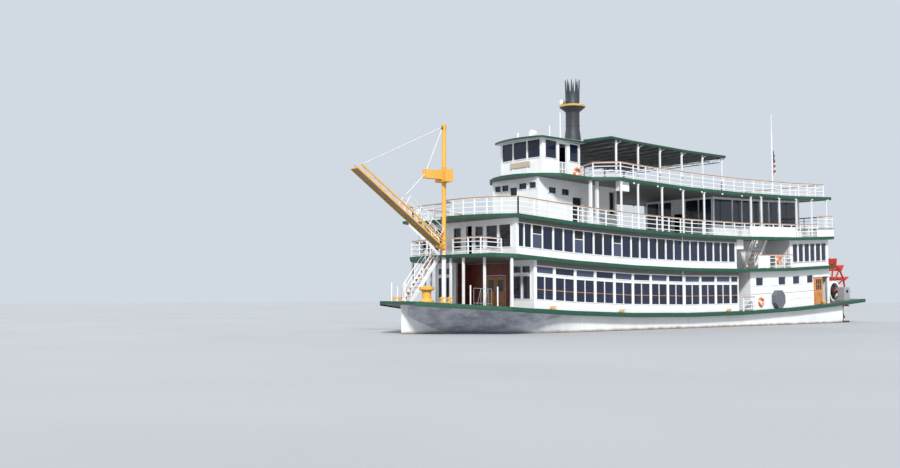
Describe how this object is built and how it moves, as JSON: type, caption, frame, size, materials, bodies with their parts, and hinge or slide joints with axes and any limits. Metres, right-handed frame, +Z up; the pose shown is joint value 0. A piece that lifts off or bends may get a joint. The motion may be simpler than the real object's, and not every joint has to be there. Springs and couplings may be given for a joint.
{
  "type": "sternwheel paddle boat scale model, 1:2",
  "caption": "Sternwheel paddle boat with stacked glazed decks, an open stern wheel, twin rudders, a slewing bow mast and a luffing gangway.",
  "frame": {"origin": "middle of the flat bottom under the middle of the whole box; the waterline lies 0.5 m above it", "axes": "+X towards the bow, +Y to port, +Z up"},
  "size_m": [25.855, 5.2, 9.75],
  "materials": {
    "hull_paint": "gloss white hull paint",
    "cabin_paint": "semi-gloss white paint",
    "roof_paint": "white paint with green edge",
    "deck_paint": "green deck paint",
    "rail_paint": "white railing paint",
    "window_glass": "dark tinted glass",
    "yellow_paint": "yellow machinery paint",
    "wheel_red": "red paint, damp and worn",
    "orange_door": "varnished orange wood",
    "dark_steel": "dark grey painted steel",
    "grey_paint": "grey paint",
    "flag_cloth": "woven flag cloth"
  },
  "bodies": {
    "boat": {"hull": "hull_paint", "main_deck": "deck_paint", "main_cabin_port_wall": "cabin_paint", "main_cabin_starboard_wall": "cabin_paint", "main_cabin_front_wall": "cabin_paint", "main_cabin_aft_wall": "cabin_paint", "main_cabin_glass": "window_glass", "aft_house_walls": "cabin_paint", "aft_house_port_glass": "window_glass", "aft_house_starboard_glass": "window_glass", "engine": "grey_paint", "second_deck": "deck_paint", "second_cabin_port_wall": "cabin_paint", "second_cabin_starboard_wall": "cabin_paint", "second_cabin_front_wall": "cabin_paint", "second_cabin_aft_wall": "cabin_paint", "second_cabin_glass": "window_glass", "second_aft_cabin_walls": "cabin_paint", "second_aft_cabin_glass": "window_glass", "third_deck": "deck_paint", "third_front_house_walls": "cabin_paint", "third_front_house_glass": "window_glass", "third_rear_house_walls": "cabin_paint", "third_rear_house_glass": "window_glass", "fourth_deck": "deck_paint", "pilothouse_walls": "cabin_paint", "pilothouse_glass": "window_glass", "pilothouse_roof": "roof_paint", "canopy": "roof_paint", "funnel": "dark_steel", "second_gallery_rail_port": "rail_paint", "second_gallery_rail_starboard": "rail_paint", "second_fore_rail_port": "rail_paint", "second_fore_rail_starboard": "rail_paint", "third_deck_rail": "rail_paint", "fourth_deck_rail": "rail_paint", "passage_rail_port": "rail_paint", "passage_rail_starboard": "rail_paint", "bow_stair": "rail_paint", "upper_stair": "rail_paint", "gallery_stair_port": "rail_paint", "gallery_stair_starboard": "rail_paint", "capstan": "yellow_paint", "bitts_port": "yellow_paint", "bitts_starboard": "yellow_paint", "raft_drum": "grey_paint", "flagpole": "cabin_paint", "flag": "flag_cloth"},
    "paddle_wheel": {"paddle_wheel": "wheel_red"},
    "rudder_port": {"rudder_port": "dark_steel"},
    "rudder_starboard": {"rudder_starboard": "dark_steel"},
    "mast": {"mast": "yellow_paint", "winch_box": "yellow_paint"},
    "gangway": {"gangway": "yellow_paint"},
    "engine_room_door_port": {"engine_room_door_port": "orange_door"},
    "engine_room_door_starboard": {"engine_room_door_starboard": "orange_door"},
    "entrance_door_port": {"entrance_door_port": "orange_door"},
    "entrance_door_starboard": {"entrance_door_starboard": "orange_door"},
    "pilothouse_door_port": {"pilothouse_door_port": "cabin_paint"},
    "pilothouse_door_starboard": {"pilothouse_door_starboard": "cabin_paint"}
  },
  "joints": [
    {"name": "paddle_wheel_spin", "type": "hinge", "parent": "boat", "child": "paddle_wheel", "pos_m": [-11.4275, 0, 1.85], "axis": [0, 1, 0], "continuous": true},
    {"name": "steer_port", "type": "hinge", "parent": "boat", "child": "rudder_port", "pos_m": [-11.2275, 2.175, 0.5], "axis": [0, 0, 1], "range_deg": [-35, 35]},
    {"name": "steer_starboard", "type": "hinge", "parent": "boat", "child": "rudder_starboard", "pos_m": [-11.2275, -2.175, 0.5], "axis": [0, 0, 1], "range_deg": [-35, 35]},
    {"name": "mast_slew", "type": "hinge", "parent": "boat", "child": "mast", "pos_m": [9.4825, 0, 3.2], "axis": [0, 0, 1], "range_deg": [-40, 40]},
    {"name": "gangway_luff", "type": "hinge", "parent": "mast", "child": "gangway", "pos_m": [9.6475, 0, 3.2], "axis": [0, -1, 0], "range_deg": [-30, 20]},
    {"name": "engine_room_slide_port", "type": "slide", "parent": "boat", "child": "engine_room_door_port", "axis": [-0.9987, 0, 0.0503], "range_m": [0, 0.55]},
    {"name": "engine_room_slide_starboard", "type": "slide", "parent": "boat", "child": "engine_room_door_starboard", "axis": [-0.9987, 0, 0.0503], "range_m": [0, 0.55]},
    {"name": "entrance_hinge_port", "type": "hinge", "parent": "boat", "child": "entrance_door_port", "pos_m": [7.2425, 0.4525, 1.75], "axis": [0, 0, -1], "range_deg": [0, 90]},
    {"name": "entrance_hinge_starboard", "type": "hinge", "parent": "boat", "child": "entrance_door_starboard", "pos_m": [7.2425, -0.4525, 1.75], "axis": [0, 0, 1], "range_deg": [0, 90]},
    {"name": "pilothouse_hinge_port", "type": "hinge", "parent": "boat", "child": "pilothouse_door_port", "pos_m": [4.92, 0.975, 6], "axis": [0, 0, 1], "range_deg": [0, 90]},
    {"name": "pilothouse_hinge_starboard", "type": "hinge", "parent": "boat", "child": "pilothouse_door_starboard", "pos_m": [4.92, -0.975, 6], "axis": [0, 0, -1], "range_deg": [0, 90]}
  ],
  "couplings": [
    {"joint": "steer_starboard", "follows": "steer_port", "ratio": 1}
  ]
}
